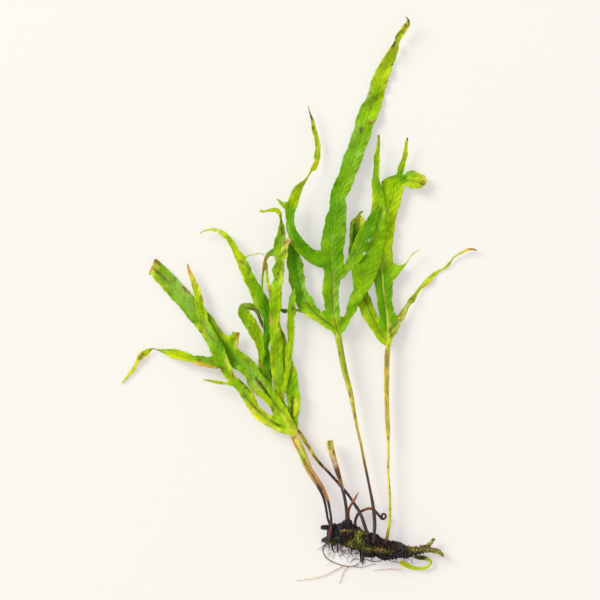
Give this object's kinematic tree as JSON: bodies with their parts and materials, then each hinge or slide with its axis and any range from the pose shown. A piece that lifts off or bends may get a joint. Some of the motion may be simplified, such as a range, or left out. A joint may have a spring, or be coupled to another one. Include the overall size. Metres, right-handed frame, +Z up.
{
  "type": "bare-root java fern",
  "caption": "Bare-root java fern lying flat: dark creeping rhizome, slender petioles, forked strap-like fronds, a cut stem, a coiled young frond and fine roots.",
  "frame": {"origin": "under the middle of the plant, on the surface that it lies on", "axes": "+Z up from the surface; +Y from the rhizome towards the tip of the longest frond; +X to the plant's right, seen from above with the frond tips away"},
  "size_m": [0.1424, 0.2268, 0.0084],
  "materials": {
    "leaf": "smooth, slightly waxy fern blade",
    "leaf_stem": "smooth green to tan petiole",
    "dark_stem": "smooth dark brown petiole",
    "rhizome_bark": "rough, damp, scaly",
    "young_shoot": "smooth young growth",
    "root_skin": "fine matte root"
  },
  "bodies": {
    "root": {"rhizome": "rhizome_bark", "centre_frond_blade": "leaf", "centre_frond_stem": "leaf_stem", "right_frond_blade": "leaf", "right_frond_stem": "leaf_stem", "left_frond_blade": "leaf", "left_frond_stem": "leaf_stem", "inner_left_frond_blade": "leaf", "inner_left_frond_stem": "leaf_stem", "inner_right_frond_blade": "leaf", "inner_right_frond_stem": "dark_stem", "cut_stem": "leaf_stem", "young_spike": "young_shoot", "fiddlehead": "young_shoot", "young_leaf": "leaf", "root_1": "root_skin", "root_2": "root_skin", "root_3": "root_skin", "root_4": "root_skin", "root_5": "root_skin", "root_6": "root_skin"}
  },
  "joints": []
}
